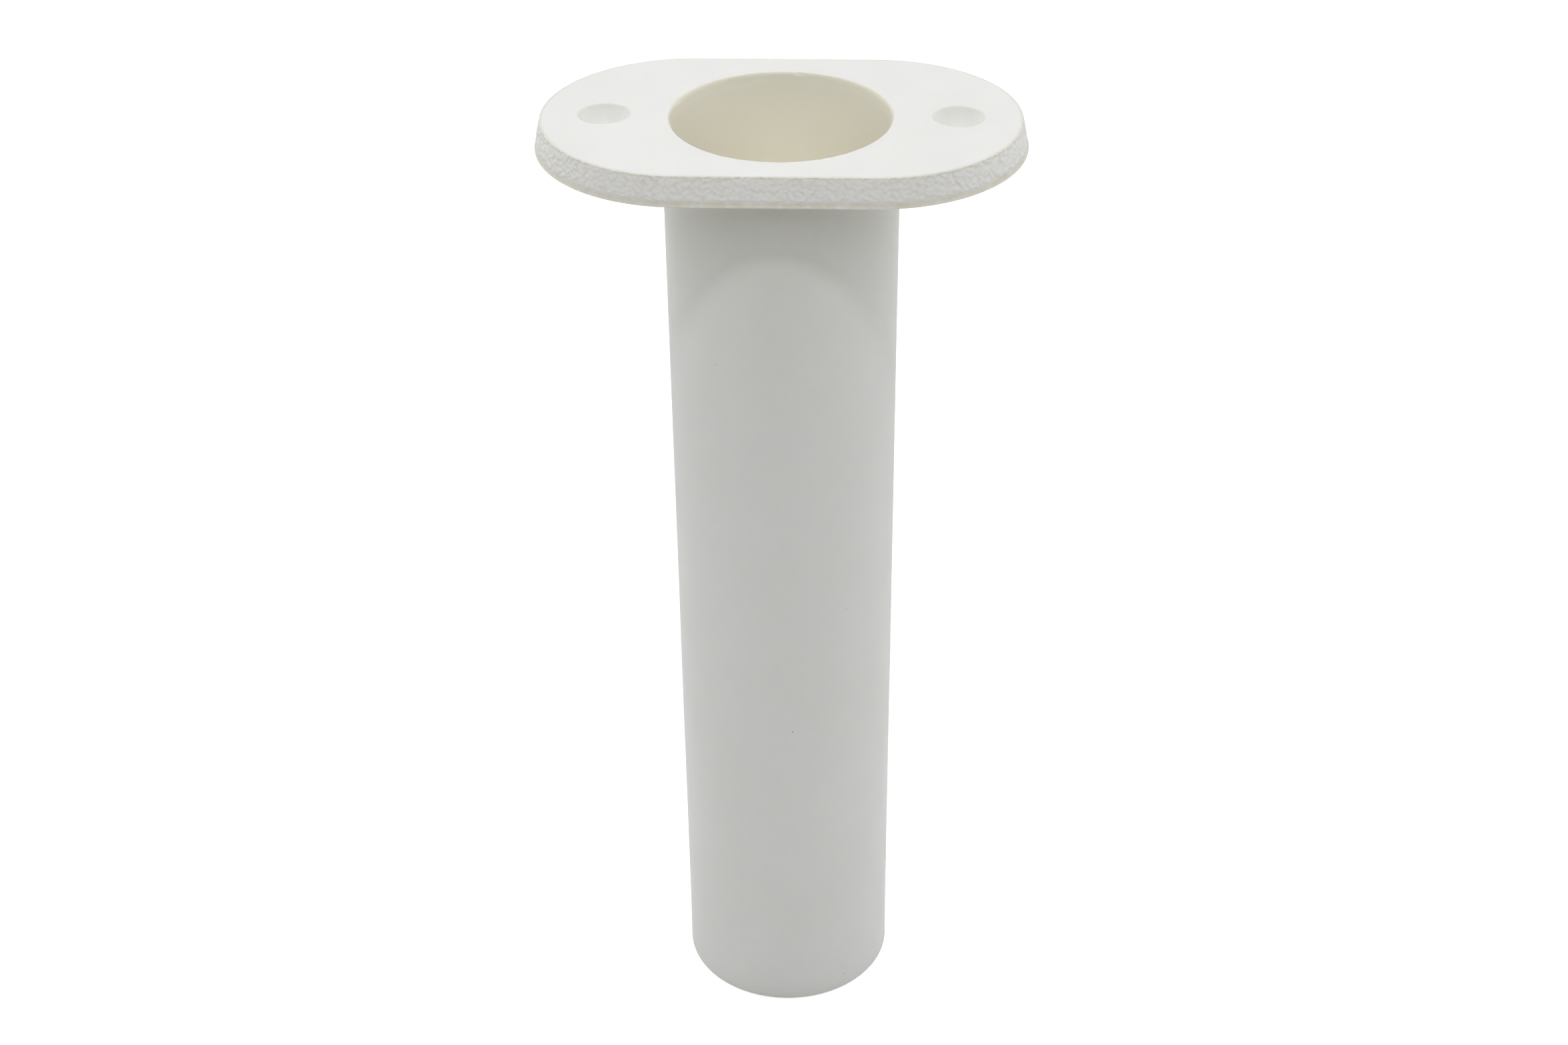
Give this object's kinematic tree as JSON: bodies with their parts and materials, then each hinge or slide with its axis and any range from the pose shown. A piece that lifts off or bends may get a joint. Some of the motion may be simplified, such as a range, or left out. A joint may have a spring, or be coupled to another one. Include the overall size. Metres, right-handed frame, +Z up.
{
  "type": "rod holder",
  "caption": "Straight flush-mount fishing rod holder: an obround deck flange with screw holes over a long round tube with a plugged foot.",
  "frame": {"origin": "on the bore axis at the flange's underside, the plane that rests on the deck", "axes": "+Z up out of the bore mouth, X along the flange's length, Y across it"},
  "size_m": [0.1048, 0.065, 0.231],
  "materials": {
    "flange_plastic": "matte",
    "tube_plastic": "satin",
    "plug_plastic": "satin"
  },
  "bodies": {
    "root": {"deck_flange": "flange_plastic", "rod_tube": "tube_plastic", "end_plug": "plug_plastic"}
  },
  "joints": []
}
